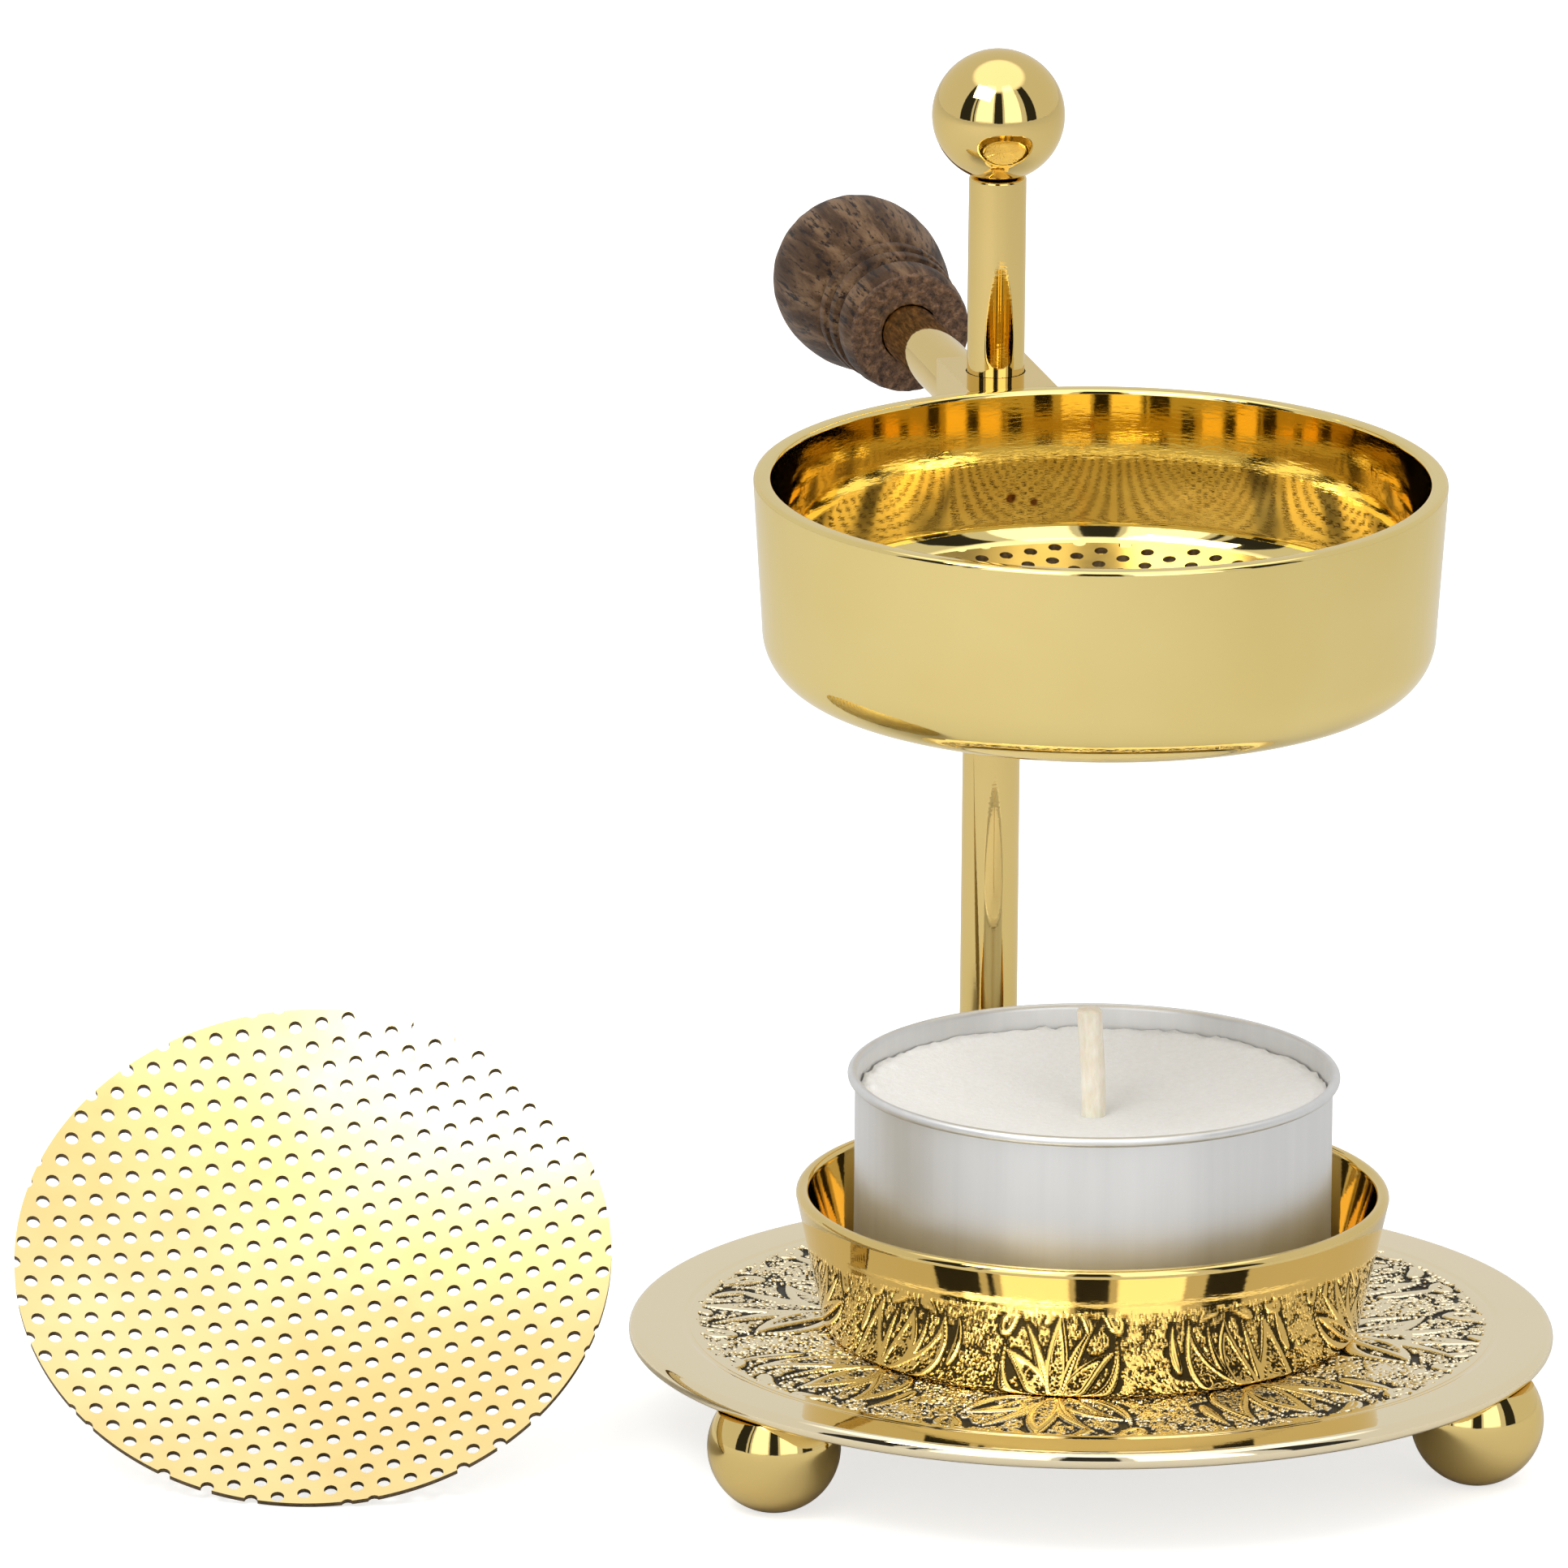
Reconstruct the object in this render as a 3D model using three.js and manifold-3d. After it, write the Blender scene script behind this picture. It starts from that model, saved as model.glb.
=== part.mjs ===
// Incense burner over a tea light: base plate with candle cup, post, sliding pan and clamp handle.
// Millimetres, +Z up. The origin is on the floor, on the axis of the post.
// The pan and the base plate lie towards -Y, the clamp rod and its handle point towards +Y.
import * as THREE from "three";
import { mergeVertices } from "three/addons/utils/BufferGeometryUtils.js";
import Module from "manifold-3d";

const wasm = await Module();
wasm.setup();

// ---------- driving sizes ----------
const ARM = 32;                  // post axis to the shared axis of plate, cup and pan
const CLEAR = 0.1;               // radial clearance of a part that slides or turns
const SEAT = 0.05;               // radial gap round a fixed pin or filling
const CUT = 1;                   // how far a cutter runs past the face it opens

const FOOT_R = 5.2;              // ball of a foot
const FOOT_PAD_R = 1.2;          // flat that stands on the floor
const FOOT_CENTRE_Z = Math.sqrt(FOOT_R ** 2 - FOOT_PAD_R ** 2);
const PLATE_Z = FOOT_CENTRE_Z + 2.8;   // underside of the base plate
const PLATE_R = 36;
const PLATE_T = 1.4;
const PLATE_TOP = PLATE_Z + PLATE_T;
const DIP_R = 31.5;              // shallow turned dip between border and engraved field
const DIP_W = 0.4;               // half its width
const DIP_D = 0.1;
const FOOT_LEFT_DEG = 115;       // front feet, about the plate's axis from the post's direction
const FOOT_RIGHT_DEG = -125;

const CUP_H = 10.9;
const CUP_WALL = 1;
const CUP_RIM_R = 23.1;
const CUP_FOOT_R = 20.9;
const RIVET_R = 1.5;

const POST_R = 2.25;
const TENON_R = 1.5;
const TENON_END_Z = 3.8;
const BALL_R = 5.2;
const BALL_SEAT_R = 1.6;         // flat under the finial ball
const BALL_Z = PLATE_TOP + 89;
const POST_TOP = BALL_Z - Math.sqrt(BALL_R ** 2 - BALL_SEAT_R ** 2);
const STUD_R = 1;
const STUD_DOWN = 5;
const STUD_UP = 4;

const BOWL_RIM_Z = PLATE_TOP + 68.3;
const BOWL_H = 16.6;
const BOWL_R = 27;
const BOWL_TAPER = 0.8;          // the wall is this much smaller at its foot than at the rim
const BOWL_WALL = 1.4;
const BOWL_INNER_TAPER = 0.4;
const BOWL_CORNER_R = 4.5;
const LEDGE_DEPTH = 12.7;        // rim down to the ledge that carries the sieve
const LEDGE_FILLET = 2.4;
const OPENING_R = 21.5;

const BLOCK_W = 7.1;
const BLOCK_BACK = 4.55;         // post axis to the back face
const BLOCK_H = 9;
const ROD_R = 2.25;
const ROD_DROP = 4;              // pan rim down to the rod's axis
const ROD_Z = BOWL_RIM_Z - ROD_DROP;
const ROD_END = 36;              // end of the rod inside the handle
const HANDLE_START = 25.9;

const SIEVE_R = 23.25;
const SIEVE_T = 0.5;
const SIEVE_SAG = 3;
const SPARE_LEAN = 39.5;         // degrees, how far the loose sieve leans back from the floor
const SPARE_TURN = -17.6;        // degrees about +Z
const SPARE_X = -59.49;
const SPARE_Y = 12.11 - ARM;

const CAN_R = 18.6;
const CAN_WALL = 0.3;
const CAN_H = 19.5;
const CAN_ROLL_R = 0.4;          // rolled rim
const CAN_Z = PLATE_TOP + CUP_WALL;
const WAX_EDGE = 18.1;           // above the can's underside
const WAX_DISH = 2.2;            // the wax is this much lower at the wick than at the can
const WICK_R = 1;
const WICK_TOP = 24.6;
const TAB_R = 6;
const TAB_T = 0.3;
const COLLAR_T = 0.45;
const COLLAR_H = 3;

// ---------- materials ----------
function finish(colour, roughness, metalness) {
  return new THREE.MeshStandardMaterial({ color: colour, roughness, metalness });
}
const BRASS = finish(0xd0a54e, 0.22, 1);
const STEEL = finish(0xb8bcc0, 0.35, 1);
const ALUMINIUM = finish(0xc4c6c8, 0.4, 1);
const WOOD = finish(0x4a2a18, 0.55, 0);
const WAX = finish(0xf2efe8, 0.5, 0);
const COTTON = finish(0xe9dfc6, 0.9, 0);

// ---------- helpers ----------
function toManifold(geometry) {
  const bare = geometry.clone();
  bare.deleteAttribute("normal");
  bare.deleteAttribute("uv");
  const welded = mergeVertices(bare, 1e-5);
  const vertProperties = new Float32Array(welded.attributes.position.array);
  const triVerts = new Uint32Array(welded.index.array);
  return new wasm.Manifold(new wasm.Mesh({ numProp: 3, vertProperties, triVerts }));
}

function toGeometry(manifold) {
  const mesh = manifold.getMesh();
  const geometry = new THREE.BufferGeometry();
  geometry.setAttribute("position", new THREE.BufferAttribute(mesh.vertProperties, 3));
  geometry.setIndex(new THREE.BufferAttribute(mesh.triVerts, 1));
  return geometry;
}

// A point of an arc about (r, z), with the angle in degrees from the outward radius.
function arcPoint(r, z, radius, degrees) {
  const a = THREE.MathUtils.degToRad(degrees);
  return [r + radius * Math.cos(a), z + radius * Math.sin(a)];
}

function arc(r, z, radius, from, to, steps) {
  const points = [];
  for (let i = 0; i <= steps; i += 1) {
    points.push(arcPoint(r, z, radius, from + (to - from) * i / steps));
  }
  return points;
}

// Turns a profile of [radius, height] about +Z, with its counter-clockwise side outward.
function turned(profile, segments) {
  const points = profile.map(([r, z]) => new THREE.Vector2(r, z));
  return new THREE.LatheGeometry(points, segments).rotateX(Math.PI / 2);
}

// A profile that encloses its area: the first point is repeated at the end.
function turnedRing(profile, segments) {
  return turned([...profile, profile[0]], segments);
}

function rod(radius, from, to, segments) {
  return turned([[0, from], [radius, from], [radius, to], [0, to]], segments);
}

function node(name, manifold, material) {
  const mesh = new THREE.Mesh(toGeometry(manifold), material);
  mesh.name = name;
  return mesh;
}

// ---------- base ----------
function plateProfile() {
  const half = PLATE_T / 2;
  return [
    [0, PLATE_Z],
    ...arc(PLATE_R - half, PLATE_Z + half, half, -90, 90, 4),
    [DIP_R + DIP_W, PLATE_TOP],
    [DIP_R, PLATE_TOP - DIP_D],
    [DIP_R - DIP_W, PLATE_TOP],
    [0, PLATE_TOP],
  ];
}

function basePlate() {
  const disc = toManifold(turned(plateProfile(), 56).translate(0, -ARM, 0));
  const reach = [PLATE_Z - CUT, PLATE_TOP + CUT];
  const rivetHole = toManifold(rod(RIVET_R + SEAT, ...reach, 20).translate(0, -ARM, 0));
  const tenonHole = toManifold(rod(TENON_R + SEAT, ...reach, 20));
  return node("base_plate", disc.subtract(rivetHole).subtract(tenonHole), BRASS);
}

function footShape() {
  const low = -THREE.MathUtils.radToDeg(Math.acos(FOOT_PAD_R / FOOT_R));
  const high = THREE.MathUtils.radToDeg(Math.asin((PLATE_Z - FOOT_CENTRE_Z) / FOOT_R));
  const profile = [[0, 0], ...arc(0, FOOT_CENTRE_Z, FOOT_R, low, high, 7), [0, PLATE_Z]];
  return turned(profile, 20);
}

// degrees runs about the plate's axis, from the direction of the post.
function foot(name, degrees) {
  const a = THREE.MathUtils.degToRad(degrees);
  const shape = footShape().translate(-ARM * Math.sin(a), ARM * Math.cos(a) - ARM, 0);
  return node(name, toManifold(shape), BRASS);
}

function rearFoot() {
  const socket = toManifold(rod(TENON_R + SEAT, TENON_END_Z - SEAT, PLATE_Z + CUT, 20));
  return node("foot_rear", toManifold(footShape()).subtract(socket), BRASS);
}

function candleCup() {
  const corner = 0.5;
  const lip = CUP_WALL / 2;
  const hole = RIVET_R + SEAT;
  const profile = [
    [hole, 0],
    ...arc(CUP_FOOT_R - corner, corner, corner, -90, -10, 3),
    ...arc(CUP_RIM_R - lip, CUP_H - lip, lip, 0, 180, 4),
    [CUP_FOOT_R - CUP_WALL, CUP_WALL + 0.8],
    [CUP_FOOT_R - CUP_WALL - 0.8, CUP_WALL],
    [hole, CUP_WALL],
  ];
  const shape = turnedRing(profile, 48).translate(0, -ARM, PLATE_TOP);
  return node("candle_cup", toManifold(shape), BRASS);
}

function cupRivet() {
  const headR = 2.8;
  const headT = 0.7;
  const profile = [
    [0, PLATE_Z - headT],
    [headR - 0.4, PLATE_Z - headT],
    [headR, PLATE_Z],
    [RIVET_R, PLATE_Z],
    [RIVET_R, PLATE_TOP + CUP_WALL],
    [0, PLATE_TOP + CUP_WALL],
  ];
  return node("cup_rivet", toManifold(turned(profile, 20).translate(0, -ARM, 0)), BRASS);
}

// ---------- post ----------
function post() {
  const chamfer = 0.25;
  const profile = [
    [0, TENON_END_Z],
    [TENON_R, TENON_END_Z],
    [TENON_R, PLATE_TOP],
    [POST_R, PLATE_TOP],
    [POST_R, POST_TOP - chamfer],
    [POST_R - chamfer, POST_TOP],
    [0, POST_TOP],
  ];
  const bar = toManifold(turned(profile, 24));
  const socket = toManifold(rod(STUD_R + SEAT, POST_TOP - STUD_DOWN - SEAT, POST_TOP + CUT, 16));
  return node("post", bar.subtract(socket), BRASS);
}

function finialStud() {
  const shape = rod(STUD_R, POST_TOP - STUD_DOWN, POST_TOP + STUD_UP, 16);
  return node("finial_stud", toManifold(shape), STEEL);
}

function finialBall() {
  const low = -THREE.MathUtils.radToDeg(Math.acos(BALL_SEAT_R / BALL_R));
  const profile = [[0, POST_TOP], ...arc(0, BALL_Z, BALL_R, low, 90, 10)];
  profile[profile.length - 1][0] = 0;
  const ball = toManifold(turned(profile, 24));
  const socket = toManifold(rod(STUD_R + SEAT, POST_TOP - CUT, POST_TOP + STUD_UP + SEAT, 16));
  return node("finial_ball", ball.subtract(socket), BRASS);
}

// ---------- pan, block and clamp ----------
function bowlOuterLine() {
  const footR = BOWL_R - BOWL_TAPER;
  const top = BOWL_WALL / 2;
  return [
    ...arc(footR - BOWL_CORNER_R, BOWL_CORNER_R, BOWL_CORNER_R, -90, 0, 6),
    ...arc(BOWL_R - 0.3, BOWL_H - 0.3, 0.3, 0, 90, 2),
    [BOWL_R - top, BOWL_H],
  ];
}

function bowlProfile() {
  const ledge = BOWL_H - LEDGE_DEPTH;
  const innerFoot = BOWL_R - BOWL_WALL - BOWL_INNER_TAPER;
  return [
    [OPENING_R + 0.6, 0],
    ...bowlOuterLine(),
    ...arc(BOWL_R - BOWL_WALL + 0.3, BOWL_H - 0.3, 0.3, 90, 180, 2),
    ...arc(innerFoot - LEDGE_FILLET, ledge + LEDGE_FILLET, LEDGE_FILLET, 0, -90, 4),
    [OPENING_R, ledge],
    [OPENING_R, 0.6],
  ];
}

function bowl() {
  const shape = turnedRing(bowlProfile(), 52).translate(0, -ARM, BOWL_RIM_Z - BOWL_H);
  return node("bowl", toManifold(shape), BRASS);
}

function clampBlock() {
  const front = ARM - BOWL_R + 2;
  const box = new THREE.BoxGeometry(BLOCK_W, front + BLOCK_BACK, BLOCK_H);
  box.translate(0, (BLOCK_BACK - front) / 2, BOWL_RIM_Z - BLOCK_H / 2);
  const filled = turned([[0, 0], ...bowlOuterLine(), [0, BOWL_H]], 52);
  filled.translate(0, -ARM, BOWL_RIM_Z - BOWL_H);
  const postBore = rod(POST_R + CLEAR, BOWL_RIM_Z - BLOCK_H - CUT, BOWL_RIM_Z + CUT, 24);
  const rodBore = rod(ROD_R + CLEAR, 0, BLOCK_BACK + CUT, 24);
  rodBore.rotateX(-Math.PI / 2).translate(0, 0, ROD_Z);
  const cutters = [filled, postBore, rodBore].map(toManifold);
  const block = cutters.reduce((left, cutter) => left.subtract(cutter), toManifold(box));
  return node("clamp_block", block, BRASS);
}

function clampRod() {
  const chamfer = 0.3;
  const start = POST_R + SEAT;
  const profile = [
    [0, start],
    [ROD_R - chamfer, start],
    [ROD_R, start + chamfer],
    [ROD_R, ROD_END],
    [0, ROD_END],
  ];
  const shape = turned(profile, 24).rotateX(-Math.PI / 2).translate(0, 0, ROD_Z);
  return node("clamp_rod", toManifold(shape), BRASS);
}

// Distance along the rod and radius of the turned handle, from its end face to its tip.
const HANDLE_LINE = [
  [25.9, 4.5], [26.2, 4.8], [28.9, 5.05], [29.4, 4.4], [29.8, 4.4], [30.3, 5.0], [31.0, 5.1],
  [31.5, 4.4], [31.9, 4.45], [33.6, 5.2], [36.2, 5.95], [39.2, 6.5], [42.2, 6.65], [44.7, 6.2],
  [46.7, 5.0], [48.1, 3.2], [48.7, 1.6],
];
const HANDLE_TIP = 48.9;

function woodenHandle() {
  const line = HANDLE_LINE.map(([y, r]) => [r, y]);
  const profile = [[0, HANDLE_START], ...line, [0, HANDLE_TIP]];
  const socket = rod(ROD_R + SEAT, HANDLE_START - CUT, ROD_END + SEAT, 24);
  const shape = toManifold(turned(profile, 28)).subtract(toManifold(socket));
  const placed = toGeometry(shape).rotateX(-Math.PI / 2).translate(0, 0, ROD_Z);
  return node("wooden_handle", toManifold(placed), WOOD);
}

// ---------- sieves ----------
// Height 0 is the underside of the sieve's edge.
function sieveShape() {
  const steps = 5;
  const under = [];
  for (let i = 0; i <= steps; i += 1) {
    const r = SIEVE_R * i / steps;
    under.push([r, SIEVE_SAG * ((r / SIEVE_R) ** 2 - 1)]);
  }
  const over = under.map(([r, z]) => [r, z + SIEVE_T]).reverse();
  return turned([...under, ...over], 44);
}

function sieve() {
  const lift = SIEVE_SAG * (1 - (OPENING_R / SIEVE_R) ** 2) + SEAT;
  const shape = sieveShape().translate(0, -ARM, BOWL_RIM_Z - LEDGE_DEPTH + lift);
  return node("sieve", toManifold(shape), BRASS);
}

function spareSieve() {
  const shape = sieveShape();
  shape.rotateX(THREE.MathUtils.degToRad(SPARE_LEAN));
  shape.rotateZ(THREE.MathUtils.degToRad(SPARE_TURN));
  shape.computeBoundingBox();
  shape.translate(SPARE_X, SPARE_Y, -shape.boundingBox.min.z);
  return node("spare_sieve", toManifold(shape), BRASS);
}

// ---------- tea light ----------
function tealightCan() {
  const inner = CAN_R - CAN_WALL;
  const rollR = CAN_R - CAN_WALL + CAN_ROLL_R;
  const profile = [
    [0, 0],
    [CAN_R - 0.6, 0],
    [CAN_R, 0.6],
    [CAN_R, CAN_H - 2 * CAN_ROLL_R],
    ...arc(rollR, CAN_H - CAN_ROLL_R, CAN_ROLL_R, -50, 180, 5),
    [inner, CAN_WALL],
    [0, CAN_WALL],
  ];
  return node("tealight_can", toManifold(turned(profile, 44).translate(0, -ARM, CAN_Z)), ALUMINIUM);
}

function tealightWax() {
  const outer = CAN_R - CAN_WALL - SEAT;
  const low = CAN_WALL + SEAT;
  const tab = TAB_R + SEAT;
  const tabTop = CAN_WALL + TAB_T + SEAT;
  const collar = WICK_R + SEAT + COLLAR_T + SEAT;
  const collarTop = CAN_WALL + COLLAR_H + SEAT;
  const profile = [
    [tab, low],
    [outer, low],
    [outer, WAX_EDGE],
    ...[0.8, 0.6, 0.4, 0.2].map((t) => [outer * t, WAX_EDGE - WAX_DISH * (1 - t * t)]),
    [WICK_R + SEAT, WAX_EDGE - WAX_DISH],
    [WICK_R + SEAT, collarTop],
    [collar, collarTop],
    [collar, tabTop],
    [tab, tabTop],
  ];
  return node("tealight_wax", toManifold(turnedRing(profile, 40).translate(0, -ARM, CAN_Z)), WAX);
}

function wickTab() {
  const inner = WICK_R + SEAT;
  const profile = [
    [inner, CAN_WALL],
    [TAB_R, CAN_WALL],
    [TAB_R, CAN_WALL + TAB_T],
    [inner + COLLAR_T, CAN_WALL + TAB_T],
    [inner + COLLAR_T, CAN_WALL + COLLAR_H],
    [inner, CAN_WALL + COLLAR_H],
  ];
  return node("wick_tab", toManifold(turnedRing(profile, 20).translate(0, -ARM, CAN_Z)), STEEL);
}

function wick() {
  const shape = rod(WICK_R, CAN_WALL, WICK_TOP, 16).translate(0, -ARM, CAN_Z);
  return node("wick", toManifold(shape), COTTON);
}

// ---------- assembly ----------
const group = new THREE.Group();
group.name = "incense_burner";
group.add(
  basePlate(), foot("foot_left", FOOT_LEFT_DEG), foot("foot_right", FOOT_RIGHT_DEG), rearFoot(),
  candleCup(), cupRivet(), post(), finialStud(), finialBall(),
  bowl(), clampBlock(), clampRod(), woodenHandle(), sieve(), spareSieve(),
  tealightCan(), tealightWax(), wickTab(), wick(),
);
export default group;
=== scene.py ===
"""Brass incense burner over a tea light, with its loose sieve. Metres, +Z up, origin on the post's axis."""
import math
import bpy
import numpy as np
from mathutils import Matrix, Vector, geometry, noise


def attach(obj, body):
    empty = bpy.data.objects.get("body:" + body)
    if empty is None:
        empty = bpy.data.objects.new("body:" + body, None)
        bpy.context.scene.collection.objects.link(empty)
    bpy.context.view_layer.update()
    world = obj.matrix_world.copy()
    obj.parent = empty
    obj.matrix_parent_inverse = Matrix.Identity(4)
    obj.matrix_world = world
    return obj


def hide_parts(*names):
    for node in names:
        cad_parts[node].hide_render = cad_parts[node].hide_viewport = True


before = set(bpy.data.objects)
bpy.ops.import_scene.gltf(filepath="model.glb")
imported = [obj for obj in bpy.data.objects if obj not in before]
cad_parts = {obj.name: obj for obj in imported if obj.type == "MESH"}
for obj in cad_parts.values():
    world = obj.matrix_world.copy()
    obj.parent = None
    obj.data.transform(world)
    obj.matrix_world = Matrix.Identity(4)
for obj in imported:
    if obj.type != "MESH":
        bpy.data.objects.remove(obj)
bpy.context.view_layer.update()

MM = 0.001

# ---------- sizes in millimetres, as in the CAD model ----------
ARM = 32.0                      # post axis to the shared axis of plate, cup, tea light and pan
FOOT_R = 5.2
FOOT_PAD_R = 1.2
FOOT_CENTRE_Z = math.sqrt(FOOT_R ** 2 - FOOT_PAD_R ** 2)
PLATE_Z = FOOT_CENTRE_Z + 2.8
PLATE_R = 36.0
PLATE_T = 1.4
PLATE_TOP = PLATE_Z + PLATE_T
PLATE_BORE_R = 1.6              # hole for the cup's rivet
FIELD_R = 31.3                  # engraved field
FIELD_IN_R = 20.2               # the engraving starts just inside the cup's foot
FIELD_SINK = 0.02               # the field's top lies this far below the border
RING_R = 31.5                   # shallow ring round the field: radius, half width and depth
RING_W = 0.5
RING_DEPTH = 0.1
CUP_H = 10.9
CUP_WALL = 1.0
CUP_BORE_R = 1.55
CUP_CORNER_R = 0.5
CUP_RIM_R = 23.1
CUP_FOOT_R = 20.9
POST_R = 2.25
BALL_R = 5.2
BALL_SEAT_R = 1.6
BALL_Z = PLATE_TOP + 89.0
POST_TOP = BALL_Z - math.sqrt(BALL_R ** 2 - BALL_SEAT_R ** 2)
BOWL_RIM_Z = PLATE_TOP + 68.3
BOWL_H = 16.6
BOWL_R = 27.0
BOWL_TAPER = 0.8
BOWL_WALL = 1.4
BOWL_INNER_TAPER = 0.4
BOWL_CORNER_R = 4.5
BOWL_LIP_R = 0.35
LEDGE_DEPTH = 12.7
LEDGE_FILLET = 2.4
OPENING_R = 21.5
ROD_R = 2.25
ROD_Z = BOWL_RIM_Z - 4.0
ROD_START = POST_R + 0.05
ROD_END = 36.0
END_GRAIN_Y = 26.15             # the handle's cut end reaches this far along the rod
PITTED_Y = 26.2
SIEVE_R = 23.25
SIEVE_T = 0.5
SIEVE_SAG = 3.0
HOLE_R = 0.53
HOLE_PITCH = 2.09
HOLE_SIDES = 14
SIEVE_EDGE_POINTS = 220
SPARE_LEAN = 39.5
SPARE_TURN = -17.6
SPARE_X = -59.49
SPARE_Y = 12.11 - ARM
CAN_R = 18.6
CAN_H = 19.5
CAN_WALL = 0.22
CAN_CORNER_R = 0.8
CAN_ROLL_R = 0.4
CAN_Z = PLATE_TOP + CUP_WALL
WAX_R = CAN_R - 0.36
WAX_EDGE = 18.1                 # the wax's height at the can, and how far it dips to the wick
WAX_DISH = 2.2
WAX_TOP = WAX_EDGE - WAX_DISH   # its height at the wick
WAX_FLAT_R = 17.0               # beyond this radius the wax crumbles against the can
WICK_R = 1.0
WICK_TOP = 24.6
WICK_LEAN = 0.45


# ---------- mesh helpers ----------
def make_mesh(name, verts_mm, faces, material, smooth_deg=35.0):
    """A smooth-shaded mesh object, sharp where faces meet at more than smooth_deg."""
    mesh = bpy.data.meshes.new(name)
    mesh.from_pydata([tuple(c * MM for c in v) for v in verts_mm], [], faces)
    mesh.validate()
    mesh.shade_smooth()
    mesh.set_sharp_from_angle(angle=math.radians(smooth_deg))
    mesh.materials.append(material)
    obj = bpy.data.objects.new(name, mesh)
    bpy.context.scene.collection.objects.link(obj)
    return obj


def arc(r, z, radius, start, end, steps):
    """Points on an arc about (r, z), with angles in degrees from the outward radius."""
    angles = np.radians(np.linspace(start, end, steps + 1))
    return [(r + radius * math.cos(a), z + radius * math.sin(a)) for a in angles]


def rounded(corners, closed=False, step_deg=15.0):
    """A profile of (radius, height, fillet) corners with each corner rounded to its fillet."""
    count = len(corners)
    out = []
    for i, (r, z, fillet) in enumerate(corners):
        here = Vector((r, z))
        if fillet <= 0 or (not closed and i in (0, count - 1)):
            out.append((r, z))
            continue
        before = Vector(corners[i - 1][:2]) - here
        after = Vector(corners[(i + 1) % count][:2]) - here
        half = before.angle(after) / 2
        cut = min(fillet / math.tan(half), before.length * 0.49, after.length * 0.49)
        radius = cut * math.tan(half)
        centre = here + (before.normalized() + after.normalized()).normalized() * radius / math.sin(half)
        start = here + before.normalized() * cut - centre
        end = here + after.normalized() * cut - centre
        turn = start.angle_signed(end)
        steps = max(1, round(abs(math.degrees(turn)) / step_deg))
        for k in range(steps + 1):
            a = -turn * k / steps
            out.append((
                centre.x + start.x * math.cos(a) - start.y * math.sin(a),
                centre.y + start.x * math.sin(a) + start.y * math.cos(a),
            ))
    return out


def lathe(name, profile, material, segments=160, closed=False, centre=(0, 0, 0), along_y=False,
          smooth_deg=35.0, shift=None):
    """Turns (radius, height) points about Z, or about Y. A radius of 0 becomes one shared point."""
    verts = []
    rings = []
    for r, z in profile:
        if r < 1e-6:
            rings.append([len(verts)] * segments)
            verts.append((0.0, 0.0, z))
            continue
        rings.append(list(range(len(verts), len(verts) + segments)))
        for k in range(segments):
            a = 2 * math.pi * k / segments
            rr, zz = shift(r, z, a) if shift else (r, z)
            verts.append((rr * math.cos(a), rr * math.sin(a), zz))
    if closed:
        rings.append(rings[0])
    faces = []
    for low, high in zip(rings, rings[1:]):
        for k in range(segments):
            j = (k + 1) % segments
            quad = [low[k], low[j], high[j], high[k]]
            loop = list(dict.fromkeys(quad))
            if len(loop) > 2:
                faces.append(loop)
    if along_y:
        verts = [(x, z, -y) for x, y, z in verts]
    verts = [(x + centre[0], y + centre[1], z + centre[2]) for x, y, z in verts]
    return make_mesh(name, verts, faces, material, smooth_deg)


def place(obj, body, *nodes, slot=None):
    """Puts a piece on its body in place of CAD nodes."""
    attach(obj, body)
    if nodes:
        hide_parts(*nodes)


# ---------- material helpers ----------
def math_node(nodes, links, operation, *items):
    """Adds a maths node whose inputs are numbers or other nodes' outputs."""
    node = nodes.new("ShaderNodeMath")
    node.operation = operation
    for socket, item in zip(node.inputs, items):
        if isinstance(item, (int, float)):
            socket.default_value = item
        else:
            links.new(item, socket)
    return node.outputs[0]


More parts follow.
